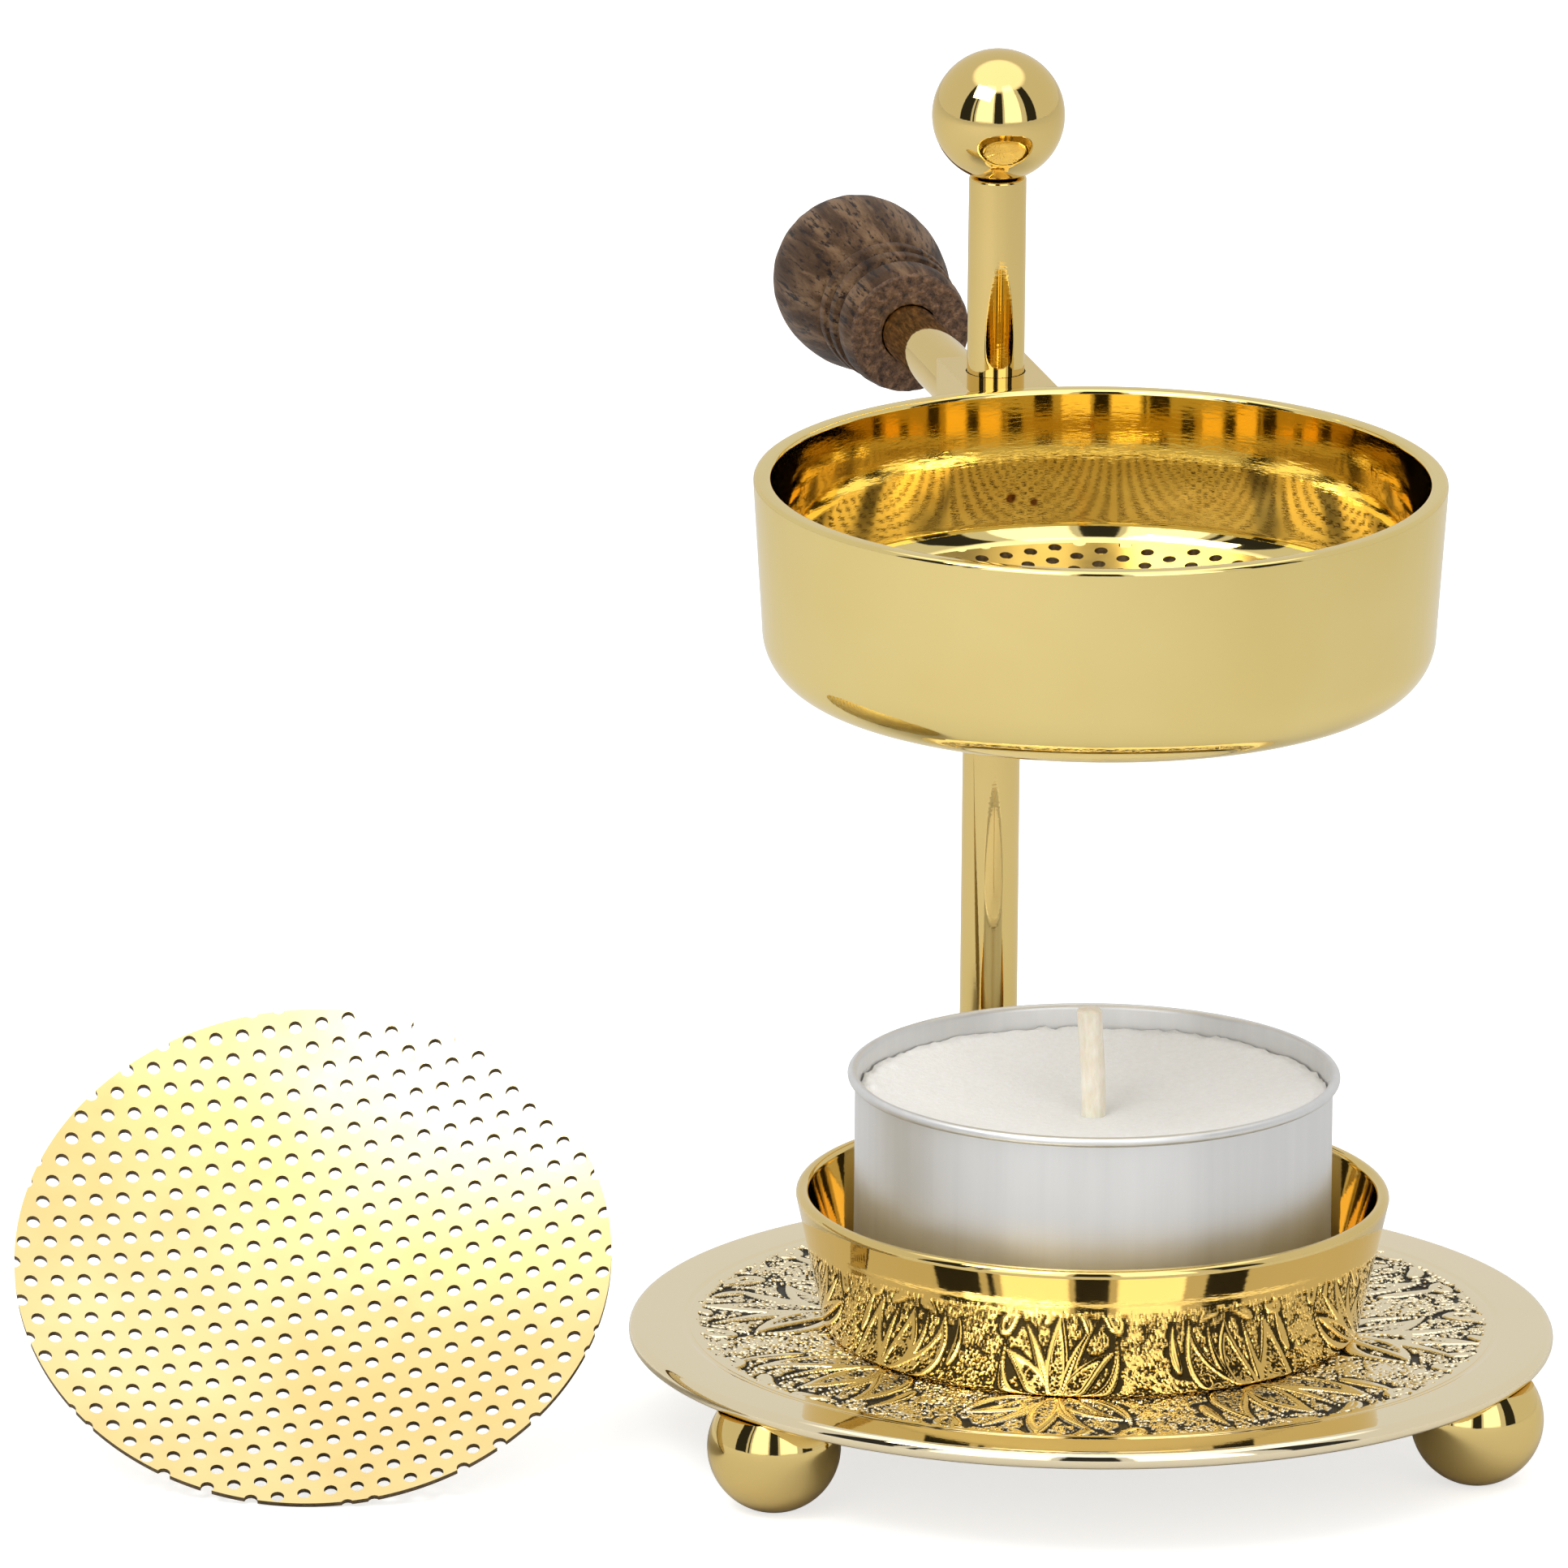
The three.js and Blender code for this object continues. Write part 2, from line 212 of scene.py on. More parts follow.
class Shader:
    """A node material with a Principled shader, and short ways to add what feeds it."""

    def __init__(self, name):
        self.material = bpy.data.materials.new(name)
        self.material.use_nodes = True
        self.nodes = self.material.node_tree.nodes
        self.links = self.material.node_tree.links
        self.bsdf = self.nodes["Principled BSDF"]
        self.coords = self.nodes.new("ShaderNodeTexCoord").outputs["Object"]

    def set(self, **values):
        for key, value in values.items():
            self.bsdf.inputs[key.replace("_", " ")].default_value = value
        return self

    def link(self, output, socket):
        self.links.new(output, self.bsdf.inputs[socket])

    def noise(self, scale, detail=3.0, roughness=0.55, stretch=(1, 1, 1), distortion=0.0):
        mapping = self.nodes.new("ShaderNodeMapping")
        mapping.inputs["Scale"].default_value = stretch
        self.links.new(self.coords, mapping.inputs["Vector"])
        node = self.nodes.new("ShaderNodeTexNoise")
        node.inputs["Scale"].default_value = scale
        node.inputs["Detail"].default_value = detail
        node.inputs["Roughness"].default_value = roughness
        node.inputs["Distortion"].default_value = distortion
        self.links.new(mapping.outputs[0], node.inputs["Vector"])
        return node.outputs["Fac"]

    def ramp(self, value, *stops):
        """Maps a value through (position, colour) stops."""
        node = self.nodes.new("ShaderNodeValToRGB")
        elements = node.color_ramp.elements
        while len(elements) < len(stops):
            elements.new(0.5)
        for element, (position, colour) in zip(elements, stops):
            element.position = position
            element.color = (*colour, 1.0)
        self.links.new(value, node.inputs["Fac"])
        return node.outputs["Color"]

    def spread(self, value, low, high, start=0.0, end=1.0):
        """Maps start..end onto low..high."""
        node = self.nodes.new("ShaderNodeMapRange")
        node.inputs["From Min"].default_value = start
        node.inputs["From Max"].default_value = end
        node.inputs["To Min"].default_value = low
        node.inputs["To Max"].default_value = high
        self.links.new(value, node.inputs["Value"])
        return node.outputs["Result"]

    def mix(self, factor, first, second, blend="MIX"):
        node = self.nodes.new("ShaderNodeMix")
        node.data_type = "RGBA"
        node.blend_type = blend
        for socket, item in ((0, factor), (6, first), (7, second)):
            if isinstance(item, (int, float)):
                node.inputs[socket].default_value = item
            elif isinstance(item, tuple):
                node.inputs[socket].default_value = (*item, 1.0)
            else:
                self.links.new(item, node.inputs[socket])
        return node.outputs[2]

    def math(self, operation, *items):
        return math_node(self.nodes, self.links, operation, *items)

    def bump(self, height, distance, strength=1.0):
        node = self.nodes.new("ShaderNodeBump")
        node.inputs["Strength"].default_value = strength
        node.inputs["Distance"].default_value = distance
        self.links.new(height, node.inputs["Height"])
        self.link(node.outputs["Normal"], "Normal")

    def attribute(self, name):
        node = self.nodes.new("ShaderNodeAttribute")
        node.attribute_name = name
        return node.outputs["Fac"]


# ---------- materials ----------
BRASS = (0.81, 0.61, 0.245)
BRASS_DEEP = (0.77, 0.575, 0.21)
BRASS_PALE = (0.90, 0.78, 0.52)
BRASS_EDGE = (1.0, 0.98, 0.92)
# dark colour of the sheared edges: tarnish with painted shade inside the sieve's holes
TARNISH_AND_SHADE_EDGE = (0.075, 0.048, 0.018)
# oxide in the engraving's recesses, also used for painted shade inside the open petals
OXIDE_AND_SHADE = (0.022, 0.018, 0.012)


def brass(name, low=0.025, high=0.06, deep=BRASS_DEEP, light=BRASS, scratch=1.0):
    """Polished brass: slow tone change, hazy patches and hairline polishing marks."""
    s = Shader(name).set(Metallic=1.0)
    s.bsdf.inputs["Specular Tint"].default_value = (*BRASS_EDGE, 1.0)
    tone = s.noise(55.0, 3.0)
    s.link(s.ramp(tone, (0.35, deep), (0.68, light)), "Base Color")
    haze = s.noise(240.0, 4.0, 0.6)
    s.link(s.spread(haze, low, high, 0.3, 0.72), "Roughness")
    marks = s.noise(900.0, 2.0, 0.5, stretch=(1, 1, 5))
    s.bump(marks, 0.0000022 * scratch)
    return s


def tarnish_and_shade_edges(name):
    """Dark tarnish with painted shade on the punched and sheared edges of sheet brass: the hole walls and
    the rim are darkened for the shade inside the holes.
    """
    s = Shader(name).set(Metallic=0.6)
    grain = s.noise(2500.0, 3.0, 0.6)
    s.link(s.ramp(grain, (0.3, TARNISH_AND_SHADE_EDGE), (0.7, (0.19, 0.125, 0.05))), "Base Color")
    s.link(s.spread(grain, 0.4, 0.6), "Roughness")
    return s.material


def tarnished_brass(name, spots):
    """Polished brass with a few small brown spots, each (x, y, z, radius) in metres."""
    s = brass(name, deep=(0.83, 0.65, 0.25), light=(0.86, 0.69, 0.29))
    colour = s.bsdf.inputs["Base Color"].links[0].from_socket
    for x, y, z, radius in spots:
        away = s.nodes.new("ShaderNodeVectorMath")
        away.operation = "DISTANCE"
        away.inputs[1].default_value = (x, y, z)
        s.links.new(s.coords, away.inputs[0])
        wobble = s.spread(s.noise(1500.0), -0.35 * radius, 0.35 * radius)
        near = s.spread(s.math("ADD", away.outputs["Value"], wobble), 1.0, 0.0, 0.7 * radius, radius)
        colour = s.mix(near, colour, (0.20, 0.085, 0.03))
    s.link(colour, "Base Color")
    return s.material


def engraved_brass(name):
    """Brass whose recesses, marked by the mesh attribute, hold dark oxide; the same attribute also carries
    painted shade inside the open petals.
    """
    s = Shader(name)
    s.bsdf.inputs["Specular Tint"].default_value = (*BRASS_EDGE, 1.0)
    oxide_and_shade = s.attribute("oxide_and_shade")
    grit = s.noise(3800.0, 2.0, 0.6)
    dark = s.spread(s.math("ADD", oxide_and_shade, s.math("MULTIPLY", grit, 0.35)), 0.0, 1.0, 0.52, 0.86)
    tone = s.ramp(s.noise(55.0, 3.0), (0.35, BRASS_PALE), (0.68, (0.92, 0.80, 0.56)))
    s.link(s.mix(dark, tone, OXIDE_AND_SHADE), "Base Color")
    s.link(s.spread(dark, 1.0, 0.55), "Metallic")
    s.link(s.spread(dark, 0.035, 0.5), "Roughness")
    s.bump(s.noise(900.0, 2.0), 0.000003)
    return s.material


def dark_wood(name):
    """Oiled dark hardwood with long grain and open pores along the handle."""
    s = Shader(name).set(IOR=1.4, Specular_IOR_Level=0.15)
    along = (1.0, 0.07, 1.0)
    bands = s.noise(650.0, 5.0, 0.6, stretch=along, distortion=0.35)
    pores = s.noise(2600.0, 3.0, 0.65, stretch=(1.0, 0.12, 1.0))
    wood = s.ramp(bands, (0.30, (0.022, 0.010, 0.004)), (0.46, (0.072, 0.037, 0.017)),
                  (0.60, (0.175, 0.102, 0.052)), (0.78, (0.052, 0.026, 0.012)))
    dark = s.spread(pores, 1.0, 0.0, 0.36, 0.46)
    s.link(s.mix(dark, wood, (0.014, 0.008, 0.006)), "Base Color")
    s.link(s.spread(bands, 0.55, 0.38), "Roughness")
    s.bump(s.math("ADD", pores, s.math("MULTIPLY", bands, 0.6)), 0.00012)
    return s.material


def end_grain(name):
    """The handle's cut end: rough, pitted and lighter between the pores."""
    s = Shader(name).set(IOR=1.45)
    pits = s.noise(1500.0, 4.0, 0.7)
    wood = s.ramp(pits, (0.34, (0.018, 0.009, 0.006)), (0.5, (0.10, 0.05, 0.026)),
                  (0.72, (0.26, 0.145, 0.075)))
    s.link(wood, "Base Color")
    s.link(s.spread(pits, 0.75, 0.45), "Roughness")
    s.bump(pits, 0.0004)
    return s.material


def can_aluminium(name):
    """Thin drawn aluminium with a soft vertical draw pattern."""
    s = Shader(name).set(Metallic=1.0)
    draw = s.noise(700.0, 3.0, 0.6, stretch=(1, 1, 0.04))
    s.link(s.ramp(draw, (0.3, (0.755, 0.757, 0.755)), (0.7, (0.80, 0.80, 0.795))), "Base Color")
    s.link(s.spread(draw, 0.42, 0.5), "Roughness")
    s.bump(s.noise(160.0, 2.0), 0.00004)
    return s.material


def white_wax(name):
    """Paraffin wax: soft, slightly translucent, with fine crystals."""
    s = Shader(name).set(Roughness=0.55, IOR=1.43, Subsurface_Weight=0.2, Subsurface_Scale=0.002)
    s.bsdf.inputs["Subsurface Radius"].default_value = (1.0, 0.85, 0.7)
    crystals = s.noise(2400.0, 4.0, 0.65)
    s.link(s.ramp(crystals, (0.3, (0.86, 0.85, 0.825)), (0.7, (0.92, 0.915, 0.90))), "Base Color")
    s.bump(crystals, 0.00012)
    return s.material


def waxed_cotton(name):
    """A candle wick stiff with wax."""
    s = Shader(name).set(Roughness=0.5, Subsurface_Weight=0.3, Subsurface_Scale=0.001)
    braid = s.noise(1700.0, 3.0, 0.6, stretch=(1, 1, 0.35))
    s.link(s.ramp(braid, (0.3, (0.80, 0.73, 0.58)), (0.7, (0.93, 0.89, 0.78))), "Base Color")
    s.bump(braid, 0.0002)
    return s.material


def plain_steel(name):
    s = Shader(name).set(Metallic=1.0)
    grain = s.noise(900.0, 3.0, 0.6, stretch=(1, 1, 6))
    s.link(s.ramp(grain, (0.3, (0.50, 0.51, 0.52)), (0.7, (0.62, 0.63, 0.64))), "Base Color")
    s.link(s.spread(grain, 0.25, 0.4), "Roughness")
    s.bump(grain, 0.00001)
    return s.material


# two small brown spots on the pan's inner wall
PAN_SPOTS = ((-0.00043, -0.0070, 0.0691, 0.00055), (0.00142, -0.00704, 0.0687, 0.0005))

M_BRASS = brass("brass_polished").material
M_SIEVE = brass("brass_sieve", 0.26, 0.38, (0.66, 0.50, 0.21), (0.74, 0.61, 0.30)).material
M_EDGE_TARNISH_AND_SHADE = tarnish_and_shade_edges("brass_edge_tarnish_and_shade")
M_BOWL = tarnished_brass("brass_pan", PAN_SPOTS)
M_ENGRAVED = engraved_brass("brass_engraved")
M_WOOD = dark_wood("wood_dark")
M_END = end_grain("wood_end_grain")
M_CAN = can_aluminium("aluminium_thin")
M_WAX = white_wax("wax_white")
M_WICK = waxed_cotton("cotton_waxed")
M_STEEL = plain_steel("steel_tinned")


# ---------- engraving ----------
SECTORS = 8
FIELD_MID_R = 26.0
SECTOR_WIDTH = 2 * math.pi * FIELD_MID_R / SECTORS
LEAF_FULLNESS = 1.25
FAR = 1e9


def curve_points(points, count=26):
    """Evenly counted points of a quadratic or cubic Bezier curve."""
    t = np.linspace(0, 1, count)[:, None]
    p = [np.array(q, float) for q in points]
    while len(p) > 1:
        p = [a + (b - a) * t for a, b in zip(p, p[1:])]
    return p[0]


def leaf(points, width, tip=0.62):
    """A leaf round a curved rib: (points, half width at each)."""
    rib = curve_points(points)
    t = np.linspace(0, 1, len(rib))
    return rib, LEAF_FULLNESS * width * np.sin(np.pi * np.clip(t, 0, 1) ** tip) + 0.03


def nearest(u, v, rib, half):
    """Signed distance to a leaf's outline, and the distance to its rib."""
    best = np.full(u.shape, FAR)
    rib_distance = np.full(u.shape, FAR)
    for (x, y), w in zip(rib, half):
        d = np.hypot(u - x, v - y)
        best = np.minimum(best, d - w)
        rib_distance = np.minimum(rib_distance, d)
    return best, rib_distance


def motif_spray():
    """Three broad open petals with ribbons between them and buds at their tips."""
    return [
        ("open", leaf([(-0.6, -5.9), (-6.4, -4.6), (-4.9, 3.4)], 1.45)),
        ("open", leaf([(0.8, -5.9), (6.2, -4.0), (4.7, 3.6)], 1.35)),
        ("open", leaf([(0.2, -5.2), (0.9, -1.5), (0.1, 3.2)], 1.25)),
        ("solid", leaf([(-0.4, -5.9), (-3.0, -3.6), (-2.2, 2.8)], 0.34)),
        ("solid", leaf([(0.6, -5.9), (3.2, -3.0), (2.3, 3.0)], 0.34)),
        ("solid", leaf([(-3.4, 3.0), (-2.4, 4.4), (-0.9, 4.3)], 0.42)),
        ("solid", leaf([(0.9, 4.4), (2.2, 4.6), (3.3, 3.4)], 0.42)),
        ("solid", leaf([(-7.3, -2.0), (-7.6, 1.0), (-6.9, 3.6)], 0.36)),
        ("solid", leaf([(7.2, -2.4), (7.6, 0.6), (6.9, 3.2)], 0.34)),
        ("open", leaf([(-7.6, 4.0), (-6.6, 3.2), (-5.6, 4.3)], 0.6)),
    ]


def motif_palmette():
    """Fan of long leaves inside two sweeping ribbons."""
    items = []
    for k, reach in ((-2, 8.2), (-1, 9.9), (0, 10.6), (1, 9.8), (2, 8.0)):
        a = math.radians(90 - 21 * k)
        c, s = math.cos(a), math.sin(a)
        kind = "open" if k % 2 == 0 else "solid"
        width = 1.0 if k % 2 == 0 else 0.5
        items.append((kind, leaf([(0.4 * k, -5.9), (0.5 * reach * c, -5.9 + 0.6 * reach * s),
                                  (0.9 * reach * c + 0.8 * k, -5.9 + reach * s)], width)))
    items.append(("solid", leaf([(-0.8, -5.9), (-7.6, -6.6), (-6.6, 1.4)], 0.42)))
    items.append(("solid", leaf([(0.8, -5.9), (7.8, -6.2), (6.5, 1.8)], 0.42)))
    items.append(("open", leaf([(-6.9, 2.0), (-6.6, 4.2), (-4.9, 4.4)], 0.75)))
    items.append(("open", leaf([(6.8, 2.4), (6.4, 4.4), (4.6, 4.5)], 0.7)))
    items.append(("solid", leaf([(-1.7, 3.6), (-1.2, 4.6), (-0.2, 4.9)], 0.3)))
    items.append(("solid", leaf([(3.4, 2.4), (3.2, 3.8), (2.2, 4.4)], 0.3)))
    return items


def engraving(radius, angle):
    """Distance to the nearest leaf's outline, whether that leaf is open, and distance to its rib."""
    wave_u = 0.35 * np.sin(3 * angle + 0.4) + 0.22 * np.sin(7 * angle + radius * 0.35)
    wave_v = 0.22 * np.sin(5 * angle + 1.3) + 0.15 * np.sin(11 * angle - 0.6 + radius * 0.2)
    turn = angle * FIELD_MID_R + wave_u
    sector = np.floor(turn / SECTOR_WIDTH).astype(int)
    u = turn - (sector + 0.5) * SECTOR_WIDTH
    v = radius - FIELD_MID_R + wave_v
    u = np.where((sector // 2) % 2 == 0, u, -u)
    distance = np.full(radius.shape, FAR)
    inside_open = np.zeros(radius.shape, bool)
    rib_distance = np.full(radius.shape, FAR)
    for parity, items in ((0, motif_spray()), (1, motif_palmette())):
        here = (sector % 2) == parity
        for kind, (rib, half) in items:
            d, rib_d = nearest(u[here], v[here], rib, half)
            closer = d < distance[here]
            distance[here] = np.where(closer, d, distance[here])
            inside_open[here] = np.where(closer, kind == "open", inside_open[here])
            rib_distance[here] = np.where(closer, rib_d, rib_distance[here])
    return distance, inside_open, rib_distance


def smooth(edge0, edge1, x):
    """Rises smoothly from 0 at edge0 to 1 at edge1."""
    t = np.clip((x - edge0) / (edge1 - edge0), 0, 1)
    return t * t * (3 - 2 * t)


def worm_noise(radius, angle, along, across, seed):
    """Noise stretched along the radius: 0 to 1."""
    out = np.empty(radius.shape)
    flat_r, flat_a = radius.ravel(), angle.ravel()
    values = out.ravel()
    for i in range(flat_r.size):
        r, a = flat_r[i], flat_a[i]
        x, y = r * math.cos(a), r * math.sin(a)
        values[i] = noise.noise((x / across + seed, y / across, r / along))
    return 0.5 + 0.5 * values.reshape(radius.shape)


def field_relief(radius, angle):
    """Depth in mm below the field's top surface, and darkness from 0 to 1: oxide in the recesses, with
    painted shade inside the open petals.
    """
    distance, inside_open, rib_distance = engraving(radius, angle)
    worm = worm_noise(radius, angle, 0.85, 0.27, 3.1)
    blotch = worm_noise(radius, angle, 2.2, 1.6, 8.7)
    ground = smooth(0.38, 0.56, worm + 0.5 * (blotch - 0.5) + 0.03)
    rim = smooth(-0.72, -0.54, distance) * (1 - smooth(0.0, 0.1, distance))
    solid = (1 - smooth(0.0, 0.1, distance)) * (~inside_open)
    raised = np.maximum(rim, solid)
    vein = solid * (1 - smooth(0.03, 0.1, rib_distance)) * 0.4
    reach = 0.18 + 0.55 * smooth(0.42, 0.70, blotch)
    groove = smooth(0.02, 0.12, distance) * (1 - smooth(reach, reach + 0.2, distance))
    # painted shade: a dark band just inside each open petal's outline, under its raised rim, with no recess
    # cut there
    inner_shade = 0.35 * smooth(-1.1, -0.6, -np.abs(distance + 0.9)) * inside_open
    stipple = 0.06 + 0.18 * (1 - ground)
    crown = 0.06 * (1 - np.sin(np.pi * np.clip(-distance / 0.7, 0, 1))) * rim
    depth = (1 - raised) * np.maximum(stipple, 0.30 * groove) + 0.10 * vein + crown
    dark = (1 - raised) * np.maximum(1.15 * (1 - ground) + inner_shade, 1.2 * groove) + 0.9 * vein
    rag = FIELD_R - 0.2 - 1.1 * np.clip(worm_noise(radius, angle, 6.0, 0.45, 15.0), 0, 1)
    fade = 1 - smooth(rag - 0.12, rag + 0.12, radius)
    inner = smooth(FIELD_IN_R, FIELD_IN_R + 0.3, radius)
    return depth * fade * inner, np.clip(dark, 0, 1) * fade * inner


def plate_outline():
    """Underside, rounded edge, border and shallow ring, up to the engraved field."""
    half = PLATE_T / 2
    outline = [(PLATE_BORE_R, PLATE_Z)]
    outline += arc(PLATE_R - half, PLATE_Z + half, half, -90, 90, 12)
    outline += [(RING_R + RING_W * t, PLATE_TOP - RING_DEPTH * (0.5 + 0.5 * math.cos(math.pi * t)))
                for t in np.linspace(1.1, -0.4, 10)]
    return outline


def engraved_plate(fine):
    """The plate, with the engraving cut into its mesh and the oxide of the recesses, with painted shade
    inside the open petals, marked by an attribute.
    """
    segments = 1700 if fine else 500
    radial_steps = 110 if fine else 36
    field = np.linspace(FIELD_R, FIELD_IN_R, radial_steps)
    angle = np.linspace(0, 2 * math.pi, segments, endpoint=False)
    rr, aa = np.meshgrid(field, angle, indexing="ij")
    depth, dark = field_relief(rr, aa)
    top = PLATE_TOP - FIELD_SINK
    verts = []
    oxide_and_shade = []
    cos, sin = np.cos(angle), np.sin(angle)
    for r, z in plate_outline():
        verts += [(r * c, r * s - ARM, z) for c, s in zip(cos, sin)]
        oxide_and_shade += [0.0] * segments
    for i, r in enumerate(field):
        verts += [(r * c, r * s - ARM, top - d) for c, s, d in zip(cos, sin, depth[i])]
        oxide_and_shade += list(dark[i])
    verts += [(PLATE_BORE_R * c, PLATE_BORE_R * s - ARM, top) for c, s in zip(cos, sin)]
    oxide_and_shade += [0.0] * segments
    rings = len(verts) // segments
    faces = []
    for i in range(rings):
        low, high = i * segments, ((i + 1) % rings) * segments
        for k in range(segments):
            j = (k + 1) % segments
            faces.append((low + k, low + j, high + j, high + k))
    obj = make_mesh("engraved_plate", verts, faces, M_ENGRAVED, 60.0)
    attribute = obj.data.attributes.new("oxide_and_shade", "FLOAT", "POINT")
    attribute.data.foreach_set("value", np.array(oxide_and_shade, np.float32))
    return obj


# ---------- base ----------
def build_base():
    place(engraved_plate(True), "base", "base_plate", slot="brass")
    low = -math.degrees(math.acos(FOOT_PAD_R / FOOT_R))
    high = math.degrees(math.asin((PLATE_Z - FOOT_CENTRE_Z) / FOOT_R))
    foot = [(0, 0)] + arc(0, FOOT_CENTRE_Z, FOOT_R, low, high, 40) + [(0, PLATE_Z)]
    for name, degrees in (("foot_left", 115), ("foot_right", -125), ("foot_rear", 0)):
        a = math.radians(degrees)
        centre = (-ARM * math.sin(a), ARM * math.cos(a) - ARM, 0)
        place(lathe("ball_" + name, foot, M_BRASS, 96, centre=centre), "base", name, slot="brass")
    build_cup()


def build_cup():
    lip = CUP_WALL / 2
    inner_foot = CUP_FOOT_R - CUP_WALL
    foot = arc(CUP_FOOT_R - CUP_CORNER_R, CUP_CORNER_R, CUP_CORNER_R, -90, -10, 6)
    rim = arc(CUP_RIM_R - lip, CUP_H - lip, lip, 0, 180, 12)
    profile = [(CUP_BORE_R, 0)] + foot + straight(foot[-1], rim[0]) + rim
    profile += straight(rim[-1], (inner_foot, CUP_WALL + 0.8))
    profile += [(inner_foot - 0.2, CUP_WALL + 0.3), (inner_foot - 0.8, CUP_WALL), (CUP_BORE_R, CUP_WALL)]
    cup = lathe("cup_shell", profile, M_BRASS, 240, closed=True, centre=(0, -ARM, PLATE_TOP))
    place(cup, "base", "candle_cup", slot="brass")


def straight(start, end):
    """Points inside a straight wall, close to its ends, so that its shading stays flat."""
    return [(start[0] + (end[0] - start[0]) * t, start[1] + (end[1] - start[1]) * t)
            for t in (0.015, 0.04, 0.5, 0.96, 0.985)]


def curve_through(points, steps):
    """A smooth line through points (Catmull-Rom)."""
    pts = [points[0]] + list(points) + [points[-1]]
    out = []
    for i in range(1, len(pts) - 2):
        a, b, c, d = (np.array(pts[i + k], float) for k in (-1, 0, 1, 2))
        for t in np.linspace(0, 1, steps, endpoint=False):
            p = 0.5 * ((2 * b) + (c - a) * t + (2 * a - 5 * b + 4 * c - d) * t ** 2
                       + (3 * b - a - 3 * c + d) * t ** 3)
            out.append((float(p[0]), float(p[1])))
    out.append(tuple(points[-1]))
    return out


# ---------- post and finial ----------
def build_column():
    profile = rounded([(0, PLATE_TOP, 0), (POST_R, PLATE_TOP, 0.1),
                       (POST_R, POST_TOP, 0.2), (0, POST_TOP, 0)])
    place(lathe("post_bar", profile, M_BRASS, 96), "column", "post", slot="brass")
    low = -math.degrees(math.acos(BALL_SEAT_R / BALL_R))
    profile = [(0, POST_TOP + 0.06), (BALL_SEAT_R - 0.05, POST_TOP + 0.06)]
    profile += arc(0, BALL_Z, BALL_R, low, 90, 64)
    profile[-1] = (0, BALL_Z + BALL_R)
    place(lathe("finial", profile, M_BRASS, 128), "column", "finial_ball", slot="brass")


# ---------- pan, block, rod and handle ----------
def bowl_profile():
    """Open floor, rounded lower edge, upright wall with a round lip, and the ledge for the sieve."""
    foot_r = BOWL_R - BOWL_TAPER
    ledge = BOWL_H - LEDGE_DEPTH
    inner_foot = BOWL_R - BOWL_WALL - BOWL_INNER_TAPER
    profile = [(OPENING_R + 0.4, 0)]
    profile += arc(foot_r - BOWL_CORNER_R, BOWL_CORNER_R, BOWL_CORNER_R, -90, 0, 20)
    profile += arc(BOWL_R - BOWL_LIP_R, BOWL_H - BOWL_LIP_R, BOWL_LIP_R, 0, 90, 6)
    profile += arc(BOWL_R - BOWL_WALL + BOWL_LIP_R, BOWL_H - BOWL_LIP_R, BOWL_LIP_R, 90, 180, 6)
    profile += arc(inner_foot - LEDGE_FILLET, ledge + LEDGE_FILLET, LEDGE_FILLET, 0, -90, 12)
    profile += [(OPENING_R + 0.2, ledge), (OPENING_R, ledge - 0.2), (OPENING_R, 0.4)]
    return profile


def build_pan():
    pan = lathe("pan", bowl_profile(), M_BOWL, 256, closed=True, centre=(0, -ARM, BOWL_RIM_Z - BOWL_H))
    place(pan, "carrier", "bowl", slot="brass")
    finish_block()


def finish_block():
    """The CAD block stays, with polished brass and eased edges."""
    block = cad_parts["clamp_block"]
    block.data.materials.clear()
    block.data.materials.append(M_BRASS)
    bevel = block.modifiers.new("edges", "BEVEL")
    bevel.width = 0.18 * MM
    bevel.segments = 3
    bevel.limit_method = "ANGLE"
    bevel.angle_limit = math.radians(40)


# (radius, distance along the rod, fillet) of the handle's neck with its rings, then the bulb's line
HANDLE_CORNERS = [
    (4.75, 25.9, 0.35), (5.05, 27.4, 1.0), (5.05, 29.0, 0.3), (4.5, 29.4, 0.1), (4.55, 29.7, 0.1),
    (5.2, 30.1, 0.25), (5.3, 31.1, 0.3), (4.75, 31.5, 0.1), (4.8, 31.8, 0.1),
    (5.4, 32.2, 0.25), (5.5, 33.1, 0.3), (4.95, 33.5, 0.1), (5.0, 33.8, 0.15),
]
HANDLE_BULB = [(5.0, 33.8), (5.5, 34.6), (6.05, 36.6), (6.5, 39.2), (6.65, 42.2), (6.2, 44.7), (5.0, 46.7),
               (3.2, 48.1), (1.6, 48.7), (0.0, 48.9)]


def build_rod():
    profile = rounded([(0, ROD_START, 0), (ROD_R, ROD_START, 0.3), (ROD_R, ROD_END, 0.1), (0, ROD_END, 0)])
    rod = lathe("rod_bar", profile, M_BRASS, 96, centre=(0, 0, ROD_Z), along_y=True)
    place(rod, "screw", "clamp_rod", slot="brass")


def build_handle():
    collar = rounded([(ROD_R + 0.05, 25.9, 0)] + HANDLE_CORNERS)[:-1]
    bulb = curve_through(HANDLE_BULB, 7)

    def carve(r, y, a):
        x, z = math.cos(a), math.sin(a)
        grain = noise.noise((x * 7.0, z * 7.0, y * 0.16)) * 0.05
        pit = 0.0
        if y < PITTED_Y:
            pit = 0.16 * noise.noise((r * x * 1.6, r * z * 1.6, 4.0))
        return r + grain, y + abs(pit)

    face = [(ROD_R + 0.06, ROD_END), (ROD_R + 0.06, 26.0)]
    face += [(ROD_R + 0.06 + (4.5 - ROD_R) * t, 25.92) for t in np.linspace(0.05, 1, 14)]
    profile = face + collar[2:] + bulb
    handle = lathe("turned_handle", profile, M_WOOD, 128, centre=(0, 0, ROD_Z), along_y=True, shift=carve)
    handle.data.materials.append(M_END)
    for polygon in handle.data.polygons:
        if polygon.center.y < END_GRAIN_Y * MM:
            polygon.material_index = 1
    place(handle, "grip", "wooden_handle", slot="wood")


